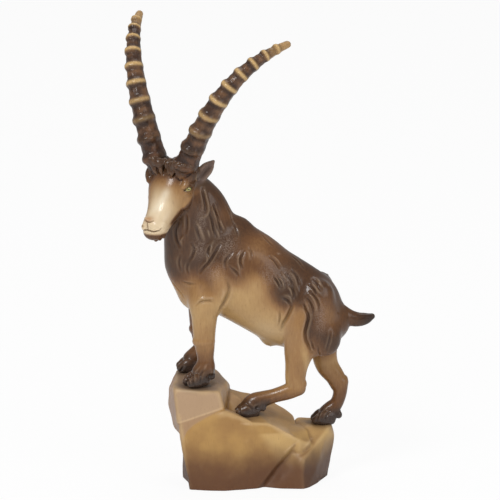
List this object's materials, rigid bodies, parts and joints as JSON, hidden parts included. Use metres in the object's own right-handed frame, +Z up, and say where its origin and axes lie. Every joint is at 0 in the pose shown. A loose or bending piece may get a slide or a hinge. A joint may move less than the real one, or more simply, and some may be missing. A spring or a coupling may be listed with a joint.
{
  "type": "ibex figurine",
  "caption": "Carved and painted wooden ibex with long ringed horns, climbing a faceted rock base, in one piece.",
  "frame": {"origin": "on the flat underside of the rock, under its middle", "axes": "+Z up, -X the way the animal's body faces, -Y the side that the picture shows"},
  "size_m": [0.1551, 0.0867, 0.288],
  "materials": {
    "painted_wood": "airbrushed stain under satin varnish"
  },
  "bodies": {
    "root": {"ibex_figurine": "painted_wood"}
  },
  "joints": []
}
